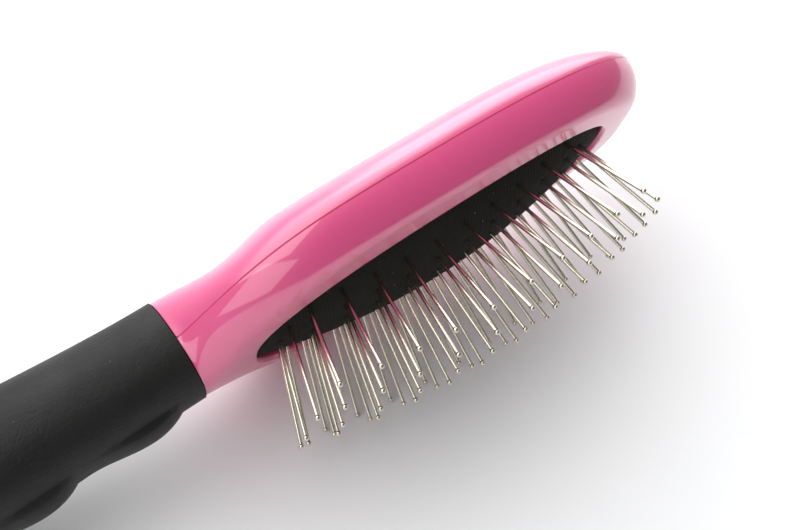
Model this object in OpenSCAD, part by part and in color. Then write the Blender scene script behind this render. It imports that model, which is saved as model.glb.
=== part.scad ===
// Pet grooming pin brush, millimetres.
// Each piece is drawn in the brush frame: +X from the grip to the head tip,
// +Z the way the pins point, the plane z = 0 is the parting plane of the two
// pink shells and x = 0 is the edge where the rubber grip starts.
// The module laid() then puts the whole brush on its side on the table, the
// way it rests: on the lower edge of the head, the lowest pin tips and the
// butt of the grip.

/* [Head] */
// length of the head and neck, from the grip edge to the tip
head_len = 124; // [118:1:130]
// greatest width of the head
head_w = 67; // [64:0.5:70]
// width of the neck where the grip starts
neck_w = 23.6; // [22.6:0.2:25]
// depth of the neck behind the parting plane
neck_back = 12; // [11:0.2:13]
// rise of the neck in front of the parting plane
neck_front = 10.8; // [10.4:0.2:12]
// rise of the arch of the front's side walls, which the flat land cuts off
front_rise = 16.8; // [16:0.2:17.6]
// wall of the two moulded shells
shell_t = 2.2; // [1.8:0.1:2.4]
// height of the opening's edge above the parting plane
rim_z = 9.65; // [9.3:0.05:10]

/* [Cushion] */
// pink border between the cushion's opening and each side of the head
side_border = 12; // [11.4:0.2:14]
// pink border between the opening and the tip
tip_border = 15.4; // [14.4:0.2:19]
// pink border between the opening and the grip
neck_border = 13.8; // [13.2:0.2:16.4]
// height of the cushion's crown above its own edge
dome_h = 6.9; // [5.5:0.1:7.7]
// thickness of the rubber sheet
pad_t = 2; // [1.6:0.1:2.4]

/* [Pins] */
// free length of a pin, from the rubber to the centre of its ball
pin_len = 22; // [19:0.5:25]
// wire of a pin
wire_d = 0.85; // [0.6:0.05:1]
// ball on the end of a pin
ball_d = 1.3; // [1.2:0.1:1.8]
// lean of the outermost pins to the two sides, degrees
splay_side = 26; // [16:1:28]
// lean of the pins at the neck end, degrees
splay_neck = 22; // [12:1:24]
// lean of the pins at the tip end, degrees
splay_tip = 14; // [10:1:22]

/* [Grip] */
// length of the rubber grip
grip_len = 106; // [96:1:116]
// width of the grip near its butt
grip_w = 31; // [29:0.5:32]
// spacing of the finger bumps
bump_pitch = 26; // [24:1:28]
// height of the finger bumps
bump_h = 2.2; // [1:0.2:2.6]

/* [Hidden] */

$fn = 48;
pink = [0.93, 0.36, 0.58];
black = [0.12, 0.12, 0.12];
steel = [0.78, 0.76, 0.70];
clear = 0.15;
eps = 0.01;

// outline of the head
hw = head_w / 2;
nw = neck_w / 2;
full_x = head_len * 0.4;
mid_x = head_len / 2;
flare_n = 1.25;
flare_m = 3.6;
tip_n = 2.4;
taper = 0.0016;
back_n = 2.12;
neck_n = 2.28;
front_n = 3.4;
front_m = 0.5;
square_x = 30;
nose_n = 3.2;
nose_m = 0.55;
brow_n = 4.2;
brow_m = 0.6;
rise_x = full_x * 1.1;
neck_dip = 2.2;
dip_len = 30;
back_ease = 0.6;

// opening, lip and stack under the lip
pa = (head_len - tip_border - neck_border) / 2;
pb = hw - side_border;
pad_x = neck_border + pa;
rim_n = 2.6;
lip_round = 0.9;
lip_crown = 0.3;
land_fall = 0.1;
land_r = 1.6;
neck_lift = 2;
pad_sunk = 0.5;
flange_w = 1.2;
flange_t = 1.5;
frame_t = 2;
floor_t = 1.5;
ring_w = 4.2;
vent_r = 3;
pad_edge_z = rim_z - pad_sunk;
dome_top = pad_edge_z + dome_h;
dome_r_long = pa * pa / (2 * dome_h);
dome_r_cross = pb * pb / (2 * dome_h);

// tongue and rebate on the parting plane, seam groove
tongue_out = 1.3;
tongue_h = 2.4;
rebate_out = 1.15;
rebate_h = 2.6;
seam = 0.45;

// spigot of each shell inside the grip
grip_wall = 3.1;
grip_proud = 0.3;
butt_wall = 10;
tang_r = nw + grip_proud - grip_wall;
tang_bore_r = tang_r - shell_t;
tang_len = grip_len - butt_wall;
tang_root = 2.5;
collar_r = nw - shell_t + 0.6;
collar_x = 0.8;

// posts and screws that carry the frame
post_a = 47;
post_r = 2.6;
screw_r = 1;
screw_len = 6;
screw_head_r = 1.9;
screw_head_t = 1.2;

// pins
pin_cols = 12;
end_margin = 5.4;
side_margin = 7;
pin_back = 0.6;
pin_mid = pad_x - pin_back;
pin_span = 2 * (pa - end_margin);
pin_side = pb - side_margin;
end_side = 0.92;
end_bow = 2.65;
head_r = 0.9;
head_t = 0.45;
head_gap = 0.3;
wobble = 1.1;
hole_gap = 0.05;

// grip
grip_gap = 0.25;
grip_flare = 70;
butt_len = 17;
butt_n = 2.3;
grip_n = 2.2;
grip_back = 15.4;
grip_front = 12.6;
bump_start = 6;
bump_n = 3;

// stations along the head and the grip, and points round a section
back_nx = 36;
back_no = 20;
back_ni = back_no - 6;
back_np = back_no + back_ni + 8;
grip_ns = 52;
grip_na = 36;

function lim(v, a, b) = min(max(v, a), b);
function smooth(t) = let (q = lim(t, 0, 1)) q * q * (3 - 2 * q);
function se(c, n) = sign(c) * pow(abs(c), 2 / n);
function cap(u, n, m) = pow(max(1 - pow(lim(u, 0, 1), n), 0), m);

// half width, depth behind and rise in front at station x of the head
function half_w(x) = let (t = lim(x / full_x, 0, 1))
  (nw + (hw - nw) * (1 - pow(1 - pow(t, flare_n), flare_m)))
  * (1 - taper * max(x - full_x, 0))
  * cap((x - mid_x) / (head_len - mid_x), tip_n, 1 / tip_n);
function depth_b(x) =
  (neck_back - neck_dip * pow(sin(180 * lim(x / dip_len, 0, 1)), 2)
  - back_ease * lim(x / mid_x, 0, 1))
  * cap((x - mid_x) / (head_len - mid_x), nose_n, nose_m);
function sec_n(x) = neck_n + (front_n - neck_n) * smooth(x / square_x);
function sec_m(x) = 1 / neck_n + (front_m - 1 / neck_n) * smooth(x / square_x);
function rise_f(x) = (neck_front + (front_rise - neck_front) * smooth(x / rise_x))
  * cap((x - mid_x) / (head_len - mid_x), brow_n, brow_m);
// slope of a profile, and the profile moved inwards by d along its normal
function step_x(x) = min(0.05, (head_len - x) / 4);
function slope_w(x) = (half_w(x + step_x(x)) - half_w(x - step_x(x))) / (2 * step_x(x));
function slope_b(x) = (depth_b(x + step_x(x)) - depth_b(x - step_x(x))) / (2 * step_x(x));
function inward(x, v, s, d) = let (k = sqrt(1 + s * s)) [x + d * s / k, v - d / k];
function off_w(x, d) = x <= 0 ? [0, nw - d] : x >= head_len - eps ? [head_len - d, 0]
  : inward(x, half_w(x), slope_w(x), d);
function off_b(x, d) = x <= 0 ? [0, neck_back - d] : x >= head_len - eps ? [head_len - d, 0]
  : inward(x, depth_b(x), slope_b(x), d);
// front skin and its inner face as heights over the parting plane: the arch of
// the side walls, cut off by the nearly flat land round the opening
function soft_min(a, b, k) = min(a, b) - pow(max(k - abs(a - b), 0), 2) / (4 * k);
function arch(x, y, rise, half) = rise
  * pow(max(1 - pow(abs(y) / max(half, eps), sec_n(x)), 0), sec_m(x));
function land_z(x, y) = rim_z + lip_crown + neck_lift * smooth(1 - x / neck_border)
  - land_fall * pb * (pow(pow(abs(x - pad_x) / pa, rim_n) + pow(abs(y) / pb, rim_n), 1 / rim_n) - 1);
function skin_z(x, y) = soft_min(arch(x, y, rise_f(x), half_w(x)), land_z(x, y), land_r);
function inner_z(x, y) = soft_min(arch(x, y, max(rise_f(x) - shell_t, 0), half_w(x) - shell_t),
  land_z(x, y) - shell_t, land_r);

// the opening's oval, moved outwards by e, and the height of the lip's
// underside, where the cushion's flange just clears the skin
function rim_xy(a, e) = [pad_x + (pa + e) * se(cos(a), rim_n), (pb + e) * se(sin(a), rim_n)];
lip_z = min([for (a = [0 : 5 : 180]) let (r = rim_xy(a, flange_w + clear)) inner_z(r.x, r.y)]);
frame_z = lip_z - flange_t - frame_t;
floor_z = frame_z - floor_t;

// closed solid from equal rings of points, a ring's last point joins its first
// and the last ring joins the first one; "wrap" tells if the rings close up
function ring_faces(nr, np, wrap) = [
  for (i = [0 : nr - (wrap ? 1 : 2)], j = [0 : np - 1])
    let (a = i * np + j, b = i * np + (j + 1) % np,
      c = ((i + 1) % nr) * np + (j + 1) % np, d = ((i + 1) % nr) * np + j)
      each [[a, b, c], [a, c, d]]];

// puts the brush on its side: roll, then pitch, then up to the table and over
// its own centre
module laid() {
  translate([-centre_x, -centre_y, rest_h]) rotate([0, -pitch, 0]) rotate([90 + lean, 0, 0])
    children();
}
// the table's directions in the brush frame
function up(l, p) = [sin(p), cos(l) * cos(p), -sin(l) * cos(p)];
function along(l, p) = [cos(p), -sin(p) * cos(l), sin(p) * sin(l)];
function across(l) = [0, -sin(l), -cos(l)];
// points of the head, the grip and the pins' balls, and how far they reach
head_pts = [for (i = [0 : back_nx], a = [0 : 5 : 355]) head_point(back_x(i), a)];
grip_pts = [for (i = [0 : grip_ns], a = [0 : 10 : 350]) grip_point(grip_s(i), a)];
ball_pts = [for (k = [0 : pin_cols - 1], v = pin_set(k)) pin_tip(k, v)];
function head_point(x, a) = sin(a) > 0
  ? [x, half_w(x) * se(cos(a), sec_n(x)), rise_f(x) * pow(sin(a), 2 * sec_m(x))]
  : [x, half_w(x) * se(cos(a), back_n), depth_b(x) * se(sin(a), back_n)];
function head_far(u) = max([for (q = head_pts) u * q]);
function grip_far(u) = max([for (q = grip_pts) u * q]);
function ball_far(u) = max([for (q = ball_pts) u * q]) + ball_d / 2;
function far(u) = max(head_far(u), grip_far(u), ball_far(u));
// halves the range until the pins and then the butt touch the table too
function find_lean(p, lo, hi, n) = let (m = (lo + hi) / 2, u = -up(m, p)) n == 0 ? m
  : ball_far(u) < head_far(u) ? find_lean(p, m, hi, n - 1) : find_lean(p, lo, m, n - 1);
function find_pitch(l, lo, hi, n) = let (m = (lo + hi) / 2, u = -up(l, m)) n == 0 ? m
  : grip_far(u) < head_far(u) ? find_pitch(l, m, hi, n - 1) : find_pitch(l, lo, m, n - 1);
lean_1 = find_lean(7, 0, 40, 8);
pitch_1 = find_pitch(lean_1, 0, 20, 8);
lean = find_lean(pitch_1, 0, 40, 11);
pitch = find_pitch(lean, 0, 20, 11);
rest_h = far(-up(lean, pitch));
centre_x = (far(along(lean, pitch)) - far(-along(lean, pitch))) / 2;
centre_y = (far(across(lean)) - far(-across(lean))) / 2;

// BACK SHELL: half of the head skin behind the parting plane, with the rebate
// for the tongue of the front shell, four posts and half of the spigot
function back_x(i) = head_len * (1 - pow(1 - i / back_nx, 1.7));
function back_outer(x, a) = [x, half_w(x) * se(cos(a), back_n),
  -seam - max(depth_b(x) - seam, 0) * se(sin(a), back_n)];
function back_inner(x, a) = let (w = off_w(x, shell_t), b = off_b(x, shell_t),
  m = cos(a) * cos(a)) [w.x * m + b.x * (1 - m), w.y * se(cos(a), back_n),
  -rebate_h - max(b.y - rebate_h, 0.4) * se(sin(a), back_n)];
function rim_pt(x, d, z, s) = let (w = off_w(x, d)) [w.x, s * w.y, z];
function back_ring(x) = concat(
  [for (i = [0 : back_no]) back_outer(x, 180 * i / back_no)],
  [rim_pt(x, seam, 0, -1), rim_pt(x, rebate_out, 0, -1), rim_pt(x, rebate_out, -rebate_h, -1)],
  [for (i = [0 : back_ni]) back_inner(x, 180 - 180 * i / back_ni)],
  [rim_pt(x, rebate_out, -rebate_h, 1), rim_pt(x, rebate_out, 0, 1), rim_pt(x, seam, 0, 1)]);
// the rings end in one point each for the skin, the rim steps and the cavity
function back_last(j) = j <= back_no ? 0 : j <= back_no + 3 ? j - back_no
  : j <= back_no + 4 + back_ni ? 4 : back_np - j;
back_tip = [[head_len, 0, -seam], [head_len - seam, 0, 0], [head_len - rebate_out, 0, 0],
  [head_len - rebate_out, 0, -rebate_h], [head_len - shell_t, 0, -rebate_h - 0.4]];
module back_skin() {
  last = (back_nx) * back_np;
  pts = concat([for (i = [0 : back_nx - 1]) each back_ring(back_x(i))], back_tip);
  bands = [for (i = [0 : back_nx - 2], j = [0 : back_np - 1])
    let (a = i * back_np + j, b = i * back_np + (j + 1) % back_np)
      each [[a, b, b + back_np], [a, b + back_np, a + back_np]]];
  nose = [for (j = [0 : back_np - 1])
    let (a = (back_nx - 1) * back_np + j, b = (back_nx - 1) * back_np + (j + 1) % back_np,
      c = last + back_last((j + 1) % back_np), d = last + back_last(j))
      each (c == d ? [[a, b, c]] : [[a, b, c], [a, c, d]])];
  root = [for (j = [0 : back_no - 1]) let (c = back_np - 1 - j)
    each [[j + 1, j, c], [j + 1, c, c - 1]]];
  polyhedron(points = pts, faces = concat(bands, nose, root), convexity = 6);
}
post_xy = rim_xy(post_a, (flange_w - ring_w) / 2) - [pad_x, 0];
module posts(r, z0, z1) {
  for (sx = [-1, 1], sy = [-1, 1])
    translate([pad_x + sx * post_xy.x, sy * post_xy.y, z0]) cylinder(r = r, h = z1 - z0);
}
// a post starts inside the wall of the back, where its far side meets it
function wall_z(x, y) = -depth_b(x) * pow(max(1 - pow(y / half_w(x), back_n), 0), 1 / back_n)
  + shell_t / 4;
module back_posts() {
  for (sx = [-1, 1], sy = [-1, 1])
    let (x = pad_x + sx * post_xy.x, z0 = wall_z(x + sx * post_r, post_xy.y + post_r))
      translate([x, sy * post_xy.y, z0]) cylinder(r = post_r, h = floor_z - z0);
}
module spigot(front) {
  intersection() {
    union() {
      translate([-tang_len, 0, 0]) rotate([0, 90, 0])
        cylinder(r = tang_r, h = tang_len + tang_root);
      translate([collar_x, 0, 0]) rotate([0, 90, 0])
        cylinder(r = collar_r, h = tang_root - collar_x);
    }
    translate([-tang_len - 1, -collar_r - 1, front ? 0 : -collar_r - 1])
      cube([tang_len + 10, 2 * collar_r + 2, collar_r + 1]);
  }
}
module spigot_bore() {
  translate([-tang_len + 2, 0, 0]) rotate([0, 90, 0])
    cylinder(r = tang_bore_r, h = tang_len + tang_root + 1);
}
module back_shell() {
  color(pink) laid() difference() {
    union() {
      back_skin();
      spigot(false);
      back_posts();
    }
    spigot_bore();
    posts(screw_r, floor_z - screw_len - 0.3, floor_z + 1);
  }
}

// FRONT SHELL: one closed ring of profiles carried round the oval opening;
// each profile runs up the skin from the parting plane or from the neck end,
// over the rounded lip, under it and back down inside to the tongue
ray_side = 34;
ray_neck = 7;
ray_half = ray_side + ray_neck;
corner_a = 163;
function ray_a(k) = k <= ray_side ? corner_a * k / ray_side
  : corner_a + (180 - corner_a) * (k - ray_side) / ray_neck;
function edge_x(a) = a <= 90 ? mid_x + (head_len - mid_x) * se(cos(a), tip_n)
  : mid_x * (1 - pow(abs(cos(a)) / abs(cos(corner_a)), 2 / tip_n));
// outer end of a ray, moved inwards by d
function ray_end(k, d) = k <= ray_side
  ? let (w = off_w(k == ray_side ? 0 : edge_x(ray_a(k)), d)) [w.x, w.y, 0]
  : let (g = 90 * (k - ray_side) / ray_neck)
    [0, (nw - d) * se(cos(g), neck_n), (neck_front - d) * se(sin(g), neck_n)];
skin_s = [1, 0.985, 0.95, 0.89, 0.8, 0.66, 0.48, 0.28, 0.12, 0];
cave_s = [0, 0.2, 0.42, 0.64, 0.82, 0.94, 1];
function ray_skin(k, s) = let (r = rim_xy(ray_a(k), lip_round), e = ray_end(k, 0),
  x = r.x + (e.x - r.x) * s, y = r.y + (e.y - r.y) * s,
  drop = rim_z + lip_crown - skin_z(r.x, r.y))
  s == 1 ? e : [x, y, skin_z(x, y) + drop * pow(1 - s, 2)];
function ray_cave(k, s) = let (r = rim_xy(ray_a(k), flange_w + clear), e = ray_end(k, shell_t),
  x = r.x + (e.x - r.x) * s, y = r.y + (e.y - r.y) * s,
  run = norm([x - r.x, y - r.y]))
  s == 1 && k > ray_side ? e : [x, y, min(inner_z(x, y), lip_z + run)];
function ray_foot(k) = k <= ray_side ?
  let (o = ray_end(k, tongue_out), i = ray_end(k, shell_t),
    h = tongue_h * lim((edge_x(ray_a(k)) - tang_root) / 2, k == ray_side ? 0.02 : 0.12, 1))
    [[i.x, i.y, -h], [o.x, o.y, -h], [o.x, o.y, 0]]
  : [ray_end(k, shell_t * 0.75), ray_end(k, shell_t * 0.5), ray_end(k, shell_t * 0.25)];
function at(p, z) = [p.x, p.y, z];
function ray(k) = let (a = ray_a(k)) concat(
  [for (s = skin_s) ray_skin(k, s)],
  [at(rim_xy(a, lip_round * 0.45), rim_z + lip_crown * 0.8),
   at(rim_xy(a, lip_round * 0.1), rim_z - lip_crown),
   at(rim_xy(a, 0), rim_z - 1), at(rim_xy(a, 0), lip_z)],
  [for (s = cave_s) ray_cave(k, s)],
  ray_foot(k));
ray_np = len(skin_s) + 4 + len(cave_s) + 3;
function mirrored(p) = [for (q = p) [q.x, -q.y, q.z]];
module front_skin() {
  rings = concat([for (k = [0 : ray_half]) ray(k)],
    [for (k = [ray_half - 1 : -1 : 1]) mirrored(ray(k))]);
  pts = [for (r = rings) each r];
  polyhedron(points = pts, faces = ring_faces(len(rings), ray_np, true), convexity = 8);
}
module front_shell() {
  color(pink) laid() difference() {
    union() {
      front_skin();
      spigot(true);
    }
    spigot_bore();
  }
}

// CUSHION: crowned rubber sheet with a flange under the lip, one hole a pin
module oval(e, h) {
  linear_extrude(height = h)
    polygon([for (i = [0 : 79]) let (a = 4.5 * i)
      [pad_x + (pa + e) * se(cos(a), rim_n), (pb + e) * se(sin(a), rim_n)]]);
}
module crown(inset) {
  r1 = dome_r_long - inset;
  r2 = dome_r_cross - inset;
  translate([pad_x, 0, dome_top - dome_r_long]) rotate([90, 0, 0])
    rotate_extrude($fn = 180) translate([r1 - r2, 0]) circle(r = r2, $fn = 120);
}
function dome_z(x, y) = let (u = x - pad_x,
  c = dome_r_long - dome_r_cross + sqrt(dome_r_cross * dome_r_cross - y * y))
  dome_top - dome_r_long + sqrt(c * c - u * u);
module cushion_pad() {
  color(black) laid() difference() {
    union() {
      intersection() {
        translate([0, 0, lip_z - flange_t]) oval(-clear, 20);
        crown(0);
      }
      translate([0, 0, lip_z - flange_t]) oval(flange_w, flange_t);
    }
    intersection() {
      translate([0, 0, lip_z - flange_t - 1]) oval(-pad_t - clear, 20);
      crown(pad_t);
    }
    for (k = [0 : pin_cols - 1], v = pin_set(k))
      pin_at(k, v) translate([0, 0, -2 * pad_t]) cylinder(r = wire_d / 2 + hole_gap, h = 4 * pad_t);
  }
}
module foam_core() {
  color([0.35, 0.35, 0.37]) laid() intersection() {
    translate([0, 0, frame_z]) oval(-ring_w - clear, 20);
    crown(pad_t + head_gap + head_t + 0.6);
  }
}

// FRAME: tray that presses the cushion's flange up against the lip
module pad_frame() {
  color([0.2, 0.2, 0.21]) laid() difference() {
    translate([0, 0, floor_z]) oval(flange_w - clear, floor_t + frame_t);
    translate([0, 0, frame_z]) oval(-ring_w, frame_t + 1);
    posts(screw_r + clear, floor_z - 1, frame_z + frame_t + 1);
    posts(screw_head_r + clear, frame_z + frame_t - screw_head_t - clear, frame_z + frame_t + 1);
    for (s = [-1, 0, 1])
      translate([pad_x + s * pa / 2, 0, floor_z - 1]) cylinder(r = vent_r, h = floor_t + 2);
  }
}
module frame_screws() {
  z1 = frame_z + frame_t - clear;
  color(steel) laid() {
    posts(screw_head_r, z1 - screw_head_t, z1);
    posts(screw_r - 0.02, floor_z - screw_len, z1 - screw_head_t);
  }
}

// PINS: wire with a ball on its end and a flat head under the rubber
function pin_set(k) = k == 0 || k == pin_cols - 1 ? [-0.6, -0.2, 0.2, 0.6]
  : [-1, -0.6, -0.2, 0.2, 0.6, 1];
function col_s(k) = 2 * k / (pin_cols - 1) - 1;
function is_end(k) = abs(col_s(k)) > 1 - eps;
function pin_x(k, v) = pin_mid + pin_span / 2 * col_s(k)
  - (is_end(k) ? sign(col_s(k)) * end_bow * pow(v / 0.6, 2) : 0);
function pin_y(k, v) = pin_side * v * (is_end(k) ? end_side : 1 - 0.22 * pow(abs(col_s(k)), 6));
function pin_dir(k, v) = let (u = (pin_x(k, v) - pin_mid) / pa,
  t = u < 0 ? tan(splay_neck) : tan(splay_tip),
  d = [t * sign(u) * pow(abs(u), 0.8) + tan(wobble) * sin(k * 77 + v * 655),
    tan(splay_side) * v + tan(wobble) * cos(k * 57 + v * 1055), 1]) d / norm(d);
function pin_base(k, v) = [pin_x(k, v), pin_y(k, v), dome_z(pin_x(k, v), pin_y(k, v))];
function pin_tip(k, v) = pin_base(k, v) + pin_len * pin_dir(k, v);
module pin_at(k, v) {
  d = pin_dir(k, v);
  translate(pin_base(k, v)) rotate([0, acos(d.z), atan2(d.y, d.x)]) children();
}
module pin() {
  under = pad_t * 1.03 + head_gap;
  cylinder(r = wire_d / 2, h = pin_len);
  translate([0, 0, -under]) cylinder(r = wire_d / 2, h = under);
  translate([0, 0, -under - head_t]) cylinder(r = head_r, h = head_t);
  translate([0, 0, pin_len]) sphere(r = ball_d / 2);
}
module pin_row(n) {
  color(steel) laid()
    for (v = pin_set(n - 1)) pin_at(n - 1, v) pin();
}

// GRIP: rubber sleeve with finger bumps on the pin side and a round butt
function grip_s(i) = grip_len * (1 - pow(1 - i / grip_ns, 1.35));
function butt(s) = cap((s - grip_len + butt_len) / butt_len, butt_n, 1 / butt_n);
function bump(s) = let (q = (s - bump_start) / bump_pitch, f = q - floor(q))
  q < 0 || q >= bump_n ? 0 : bump_h * sin(180 * pow(f, 0.72));
function grip_half(s) = (nw + grip_proud + (grip_w / 2 - nw) * smooth(s / grip_flare)) * butt(s);
function grip_b(s) = (neck_back + grip_proud + (grip_back - neck_back) * smooth(s / grip_flare)) * butt(s);
function grip_f(s) = (neck_front + grip_proud + (grip_front - neck_front) * smooth(s / grip_flare)
  + bump(s)) * butt(s);
function grip_point(s, a) = [-grip_gap - s * (grip_len - grip_gap) / grip_len,
  grip_half(s) * se(cos(a), grip_n),
  (sin(a) > 0 ? grip_f(s) : grip_b(s)) * se(sin(a), grip_n)];
module grip_skin() {
  n = grip_ns * grip_na;
  pts = concat([for (i = [0 : grip_ns - 1], j = [0 : grip_na - 1])
    grip_point(grip_s(i), 360 * j / grip_na)], [[-grip_len, 0, 0]]);
  bands = [for (i = [0 : grip_ns - 2], j = [0 : grip_na - 1])
    let (a = i * grip_na + j, b = i * grip_na + (j + 1) % grip_na)
      each [[a, b, b + grip_na], [a, b + grip_na, a + grip_na]]];
  end = [for (j = [0 : grip_na - 1])
    [n - grip_na + j, n - grip_na + (j + 1) % grip_na, n]];
  polyhedron(points = pts, faces = concat(bands, end,
    [[for (j = [grip_na - 1 : -1 : 0]) j]]), convexity = 4);
}
module grip() {
  color(black) laid() difference() {
    grip_skin();
    translate([-tang_len - clear, 0, 0]) rotate([0, 90, 0])
      cylinder(r = tang_r + clear, h = tang_len + 1);
  }
}

back_shell();
front_shell();
cushion_pad();
foam_core();
pad_frame();
frame_screws();
grip();
pin_row(1);  // pin_row_01
pin_row(2);  // pin_row_02
pin_row(3);  // pin_row_03
pin_row(4);  // pin_row_04
pin_row(5);  // pin_row_05
pin_row(6);  // pin_row_06
pin_row(7);  // pin_row_07
pin_row(8);  // pin_row_08
pin_row(9);  // pin_row_09
pin_row(10);  // pin_row_10
pin_row(11);  // pin_row_11
pin_row(12);  // pin_row_12
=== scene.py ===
import math

import bmesh
import bpy
import numpy as np
from mathutils import Matrix, Vector


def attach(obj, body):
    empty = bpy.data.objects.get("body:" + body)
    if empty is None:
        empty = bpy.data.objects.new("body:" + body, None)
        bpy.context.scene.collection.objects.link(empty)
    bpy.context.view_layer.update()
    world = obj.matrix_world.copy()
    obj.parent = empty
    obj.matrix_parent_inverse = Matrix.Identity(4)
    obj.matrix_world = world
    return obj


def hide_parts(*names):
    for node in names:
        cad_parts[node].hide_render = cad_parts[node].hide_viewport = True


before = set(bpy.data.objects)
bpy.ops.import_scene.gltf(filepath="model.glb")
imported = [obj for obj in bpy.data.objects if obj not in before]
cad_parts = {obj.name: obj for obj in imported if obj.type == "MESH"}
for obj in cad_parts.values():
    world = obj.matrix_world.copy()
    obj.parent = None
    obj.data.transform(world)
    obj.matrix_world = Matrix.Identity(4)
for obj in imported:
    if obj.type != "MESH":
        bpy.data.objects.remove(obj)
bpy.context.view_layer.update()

bl_info = {
    "name": "Grooming Brush",
    "version": (1, 0, 0),
    "blender": (4, 5, 0),
    "location": "View3D > Sidebar > Brush",
    "description": "Builds the smooth surfaces, finishes and stage of a pet grooming brush",
    "category": "Object",
}

# the frame
MM = 0.001
BODY = "root"

# how the brush lies on its side: rolled and pitched by these degrees, then shifted by these mm, so
# that the head's edge, the lowest pin tips and the grip's butt rest on the table
LEAN = 15.0293
PITCH = 7.45605
SHIFT = np.array([-8.99911, 11.683, 27.4234])


def turn(axis, degrees):
    """Rotation matrix about one axis: cosine on the diagonal, sine across it."""
    return np.array(Matrix.Rotation(math.radians(degrees), 3, axis))


TO_TABLE = turn("Y", -PITCH) @ turn("X", 90 + LEAN)


def to_table(p):
    """Brush frame in mm to the table frame in metres: turned, shifted, scaled."""
    return (p @ TO_TABLE.T + SHIFT) * MM


# sizes of the solids, in mm, with x from the grip's edge to the tip, z towards the pins, and z zero
# at the parting plane of the two shells
HEAD_LEN, HEAD_W, NECK_W = 124.0, 67.0, 23.6
NECK_BACK, NECK_FRONT, FRONT_RISE = 12.0, 10.8, 16.8
SHELL_T, RIM_Z = 2.2, 9.65
SIDE_BORDER, TIP_BORDER, NECK_BORDER = 12.0, 15.4, 13.8
DOME_H, PAD_T = 6.9, 2.0
PIN_LEN, WIRE_D, BALL_D = 22.0, 0.85, 1.3
GRIP_LEN, GRIP_W, BUMP_PITCH, BUMP_H = 106.0, 31.0, 26.0, 2.2

# outline of the head: where it is widest, and the powers of its flare, taper and tip
HALF_HEAD, HALF_NECK = HEAD_W / 2, NECK_W / 2
FULL_X, MID_X = HEAD_LEN * 0.4, HEAD_LEN / 2
FLARE_N, FLARE_M, TIP_N, TAPER = 1.25, 3.6, 2.4, 0.0016

# side view: powers that close the nose and the brow, the dip past the neck, the ease of the front
NOSE_N, NOSE_M, BROW_N, BROW_M = 3.2, 0.55, 4.2, 0.6
NECK_DIP, DIP_LEN, BACK_EASE, FRONT_EASE = 2.2, 30.0, 0.6, 1.1

# cross-sections: powers of the back, the neck and the front, which turns square by SQUARE_X
BACK_N, NECK_N, FRONT_N, FRONT_M, SQUARE_X = 2.12, 2.28, 3.4, 0.5, 30.0

# the opening: half axes, middle and power of its oval, its lip, and the land round it
PAD_A, PAD_B = (HEAD_LEN - TIP_BORDER - NECK_BORDER) / 2, HALF_HEAD - SIDE_BORDER
PAD_X, RIM_N = NECK_BORDER + PAD_A, 2.6
LIP_ROUND, LIP_CROWN, LIP_DROP, LIP_Z = 0.9, 0.3, 1.0, 7.615
LAND_FALL, LAND_R, NECK_LIFT = 0.1, 1.6, 2.0

# the joint between the shells: chamfer, rebate and tongue, how the tongue dies out at the neck, and
# the least depth of the hollow behind the rebate
SEAM, TONGUE_OUT, TONGUE_H, REBATE_OUT, REBATE_H = 0.35, 1.3, 2.4, 1.15, 2.6
TONGUE_FROM, TONGUE_RUN, TONGUE_LEAST, TONGUE_NECK = 2.5, 2.0, 0.12, 0.02
HOLLOW_LEAST = 0.4

# where a ray from the opening's middle meets the corner of the neck's end, and the shares of the
# rays before and past it
CORNER_A, SIDE_RAYS, NECK_RAYS = 163.0, 34, 7

# the cushion: flange, running gap, crown and its two radii, the edge that tucks under the lip, and
# how far its underside stays below the crown and above the flange
FLANGE_W, FLANGE_T, CLEAR = 1.2, 1.5, 0.15
PAD_SUNK = 0.5
DOME_TOP = RIM_Z - PAD_SUNK + DOME_H
R_LONG, R_CROSS = PAD_A ** 2 / (2 * DOME_H), PAD_B ** 2 / (2 * DOME_H)
TUCK, TUCK_MORE, TUCK_FROM, TUCK_RUN = 1.1, 0.5, 0.85, 0.15
UNDER_DROP, UNDER_RISE = PAD_T * 0.05, 0.5

# the grip: its fit on the neck, its round butt, its section, its finger bumps and its bore
GRIP_GAP, GRIP_PROUD, GRIP_FLARE = 0.25, 0.3, 70.0
BUTT_LEN, BUTT_N, GRIP_N, GRIP_BACK, GRIP_FRONT = 17.0, 2.3, 2.2, 15.4, 12.6
BUMP_START, BUMP_COUNT, BUMP_ROUND = 6.0, 3, 0.1
BUMP_RISE, BUMP_EARLY, BUMP_END, BUMP_ARC = 0.3, 0.8, 0.92, 22.0
TANG_R, TANG_LEN = 9.0, 96.0

# the pins: places across a row as shares of PIN_SIDE, the bowed and narrowed end rows, the lean
# outwards and the wobble in degrees, the turns that scatter the wobble, heads, and straight wire
ROW = (-1, -0.6, -0.2, 0.2, 0.6, 1)
END_ROW = ROW[1:-1]
PIN_COLS, PIN_MID, PIN_SPAN, PIN_SIDE = 12, PAD_X - 0.6, 2 * PAD_A - 10.8, PAD_B - 7
END_SIDE, END_BOW, ROW_EASE, ROW_EASE_N = 0.92, 2.65, 0.22, 6
SPLAY_SIDE, SPLAY_NECK, SPLAY_TIP, SPLAY_N, WOBBLE = 26.0, 22.0, 14.0, 0.8, 1.1
ALONG_TURN, ACROSS_TURN = (77, 655), (57, 1055)
PIN_HEAD_R, PIN_HEAD_T, PIN_UNDER = 0.9, 0.45, PAD_T * 1.03 + 0.3
WIRE_FROM, WIRE_TO = -1, PIN_LEN - 2

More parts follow.
